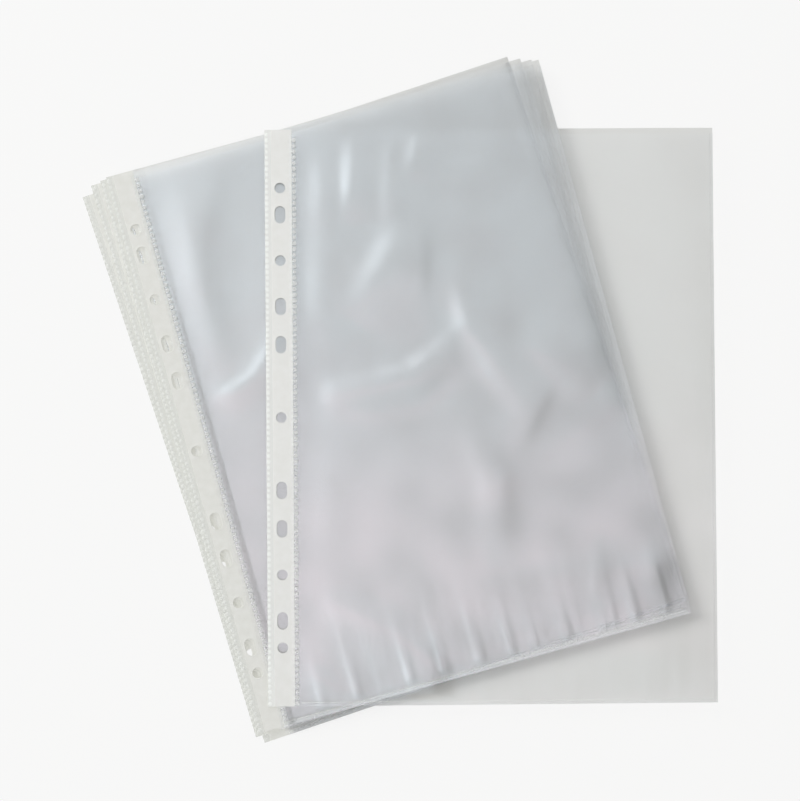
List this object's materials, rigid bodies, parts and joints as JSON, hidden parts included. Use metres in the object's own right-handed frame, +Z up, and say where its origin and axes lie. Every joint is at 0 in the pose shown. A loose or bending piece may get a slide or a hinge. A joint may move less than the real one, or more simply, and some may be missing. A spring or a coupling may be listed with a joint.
{
  "type": "sheet protector set",
  "caption": "Fanned set of clear punched sheet pockets: film envelopes open at the top, each welded to a white binding strip with ring holes and slots.",
  "frame": {"origin": "on the table, in the middle of the set's footprint", "axes": "+Z up from the table, +Y along the top pocket's height towards its open mouth, +X from its binding strip towards its right edge"},
  "size_m": [0.3306, 0.3592, 0.0059],
  "materials": {
    "clear_film": "clear polypropylene film with a soft gloss",
    "weld_bead": "melted clear film, knurled by the welding wheel",
    "white_tape": "white polypropylene tape, satin"
  },
  "bodies": {
    "pocket_1": {"pocket_1_binding_strip": "white_tape", "pocket_1_back_film": "clear_film", "pocket_1_inner_seam": "weld_bead", "pocket_1_side_seam": "weld_bead", "pocket_1_bottom_seam": "weld_bead", "pocket_1_front_film": "clear_film"},
    "pocket_2": {"pocket_2_binding_strip": "white_tape", "pocket_2_back_film": "clear_film", "pocket_2_inner_seam": "weld_bead", "pocket_2_side_seam": "weld_bead", "pocket_2_bottom_seam": "weld_bead", "pocket_2_front_film": "clear_film"},
    "pocket_3": {"pocket_3_binding_strip": "white_tape", "pocket_3_back_film": "clear_film", "pocket_3_inner_seam": "weld_bead", "pocket_3_side_seam": "weld_bead", "pocket_3_bottom_seam": "weld_bead", "pocket_3_front_film": "clear_film"},
    "pocket_4": {"pocket_4_binding_strip": "white_tape", "pocket_4_back_film": "clear_film", "pocket_4_inner_seam": "weld_bead", "pocket_4_side_seam": "weld_bead", "pocket_4_bottom_seam": "weld_bead", "pocket_4_front_film": "clear_film"},
    "top_strip": {"top_pocket_binding_strip": "white_tape"},
    "top_page": {"top_pocket_back_film": "clear_film", "top_pocket_inner_seam": "weld_bead", "top_pocket_side_seam": "weld_bead", "top_pocket_bottom_seam": "weld_bead"},
    "top_front": {"top_pocket_front_film": "clear_film"}
  },
  "joints": [
    {"name": "pocket_2_fan", "type": "hinge", "parent": "pocket_1", "child": "pocket_2", "pos_m": [-0.07713, -0.14494, 0.00159], "axis": [0, 0, 1], "range_deg": [-30, 30]},
    {"name": "pocket_3_fan", "type": "hinge", "parent": "pocket_1", "child": "pocket_3", "pos_m": [-0.07578, -0.14373, 0.00295], "axis": [0, 0, 1], "range_deg": [-30, 30]},
    {"name": "pocket_4_fan", "type": "hinge", "parent": "pocket_1", "child": "pocket_4", "pos_m": [-0.07491, -0.14273, 0.00431], "axis": [0, 0, 1], "range_deg": [-30, 30]},
    {"name": "top_pocket_fan", "type": "hinge", "parent": "pocket_1", "child": "top_strip", "pos_m": [-0.06174, -0.12966, 0.00567], "axis": [0, 0, 1], "range_deg": [-30, 30]},
    {"name": "page_turn", "type": "hinge", "parent": "top_strip", "child": "top_page", "pos_m": [-0.05547, -0.00966, 0.00605], "axis": [0, -1, 0], "range_deg": [0, 170]},
    {"name": "mouth_open", "type": "hinge", "parent": "top_page", "child": "top_front", "pos_m": [-0.05539, -0.16016, 0.00582], "axis": [1, 0, 0], "range_deg": [0, 2.5], "stiffness_Nm_per_rad": 0.4, "deforming": ["top_pocket_front_film"]}
  ]
}
